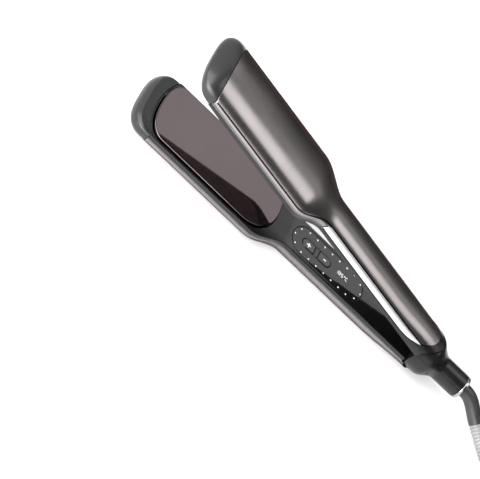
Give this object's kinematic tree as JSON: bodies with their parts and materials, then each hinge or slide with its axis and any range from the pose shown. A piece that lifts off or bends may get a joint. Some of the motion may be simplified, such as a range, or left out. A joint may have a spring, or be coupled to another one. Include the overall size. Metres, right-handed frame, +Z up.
{
  "type": "flat iron",
  "caption": "Corded wide-plate hair straightener with two sprung arms, floating plates, button control panel, display and swivel cord.",
  "frame": {"origin": "on the surface the iron lies on, under the middle of the iron without its cord", "axes": "+X along the lower arm from its tip to the tail and the cord, +Y along the hinge axis, +Z up, from the lower arm towards the upper arm"},
  "size_m": [0.4005, 0.0699, 0.0721],
  "materials": {
    "shell": "satin metallic lacquer, warm dark grey",
    "frame": "satin heat-resistant plastic, near black",
    "tip_cap": "satin heat-resistant plastic, near black",
    "plate": "mirror-polished dark mauve coating on aluminium",
    "ceramic": "ceramic heating element",
    "carrier": "glass-filled black plastic",
    "steel": "zinc-plated steel",
    "cushion": "silicone rubber",
    "seat": "folded aluminium sheet",
    "lead": "silicone-insulated wire",
    "panel": "high-gloss black window",
    "light": "white light guides and printing",
    "module": "display module",
    "button": "smoked gloss plastic",
    "switch": "tact switches",
    "board": "green circuit board",
    "tail_plastic": "satin black plastic",
    "spring_steel": "oiled spring steel",
    "washer": "natural nylon",
    "sleeve": "black plastic",
    "collar": "polished chrome",
    "strip": "polished chrome trim",
    "relief": "grey flexible cord protector",
    "cord": "black cord jacket",
    "tie": "black tie band",
    "plug": "moulded black plug",
    "pins": "plated plug pins"
  },
  "bodies": {
    "lower_arm": {"lower_shell": "shell", "lower_frame": "frame", "lower_tip_cap": "tip_cap", "lower_float_cushions": "cushion", "lower_float_seat": "seat", "lower_leads": "lead", "control_panel": "panel", "light_ring": "light", "display_digits": "light", "display_module": "module", "button_switches": "switch", "control_board": "board", "board_screws": "steel", "tail_housing": "tail_plastic", "tail_screws": "steel", "hinge_pin": "steel", "hinge_spring": "spring_steel", "hinge_washers": "washer", "relief_sleeve": "relief", "relief_ribs": "relief", "cord_lead": "cord", "cord_hank": "cord", "cord_tie": "tie", "cord_tail": "cord", "plug_body": "plug", "plug_pins": "pins"},
    "lower_plate_unit": {"lower_plate": "plate", "lower_heater": "ceramic", "lower_plate_carrier": "carrier", "lower_thermal_fuse": "steel"},
    "upper_arm": {"upper_shell": "shell", "upper_frame": "frame", "upper_tip_cap": "tip_cap", "upper_end_cap": "tail_plastic", "upper_side_strips": "strip", "upper_float_cushions": "cushion", "upper_float_seat": "seat", "upper_leads": "lead", "upper_hinge_bracket": "steel", "upper_bracket_screws": "steel"},
    "upper_plate_unit": {"upper_plate": "plate", "upper_heater": "ceramic", "upper_plate_carrier": "carrier", "upper_thermal_fuse": "steel"},
    "plus_key": {"plus_button": "button", "plus_mark": "light"},
    "minus_key": {"minus_button": "button", "minus_mark": "light"},
    "cord_swivel": {"swivel_sleeve": "sleeve", "swivel_collar": "collar"}
  },
  "joints": [
    {"name": "arm_hinge", "type": "hinge", "parent": "lower_arm", "child": "upper_arm", "pos_m": [0.1005, 0, 0.01517], "axis": [0, -1, 0], "range_deg": [0, 11.2], "stiffness_Nm_per_rad": 0.6, "springref_deg": -28.65},
    {"name": "lower_plate_float", "type": "slide", "parent": "lower_arm", "child": "lower_plate_unit", "axis": [0, 0, -1], "range_m": [0, 0.0012], "stiffness_N_per_m": 3000, "springref_m": -0.001, "deforming": ["lower_float_cushions"]},
    {"name": "upper_plate_float", "type": "slide", "parent": "upper_arm", "child": "upper_plate_unit", "axis": [0.1942, 0, 0.981], "range_m": [0, 0.0012], "stiffness_N_per_m": 3000, "springref_m": -0.001, "deforming": ["upper_float_cushions"]},
    {"name": "plus_key_press", "type": "slide", "parent": "lower_arm", "child": "plus_key", "axis": [0, 0, -1], "range_m": [0, 0.0005], "stiffness_N_per_m": 800, "springref_m": -0.0004},
    {"name": "minus_key_press", "type": "slide", "parent": "lower_arm", "child": "minus_key", "axis": [0, 0, -1], "range_m": [0, 0.0005], "stiffness_N_per_m": 800, "springref_m": -0.0004},
    {"name": "cord_swivel_turn", "type": "hinge", "parent": "lower_arm", "child": "cord_swivel", "pos_m": [0.122, 0, 0.01517], "axis": [1, 0, 0], "continuous": true}
  ]
}
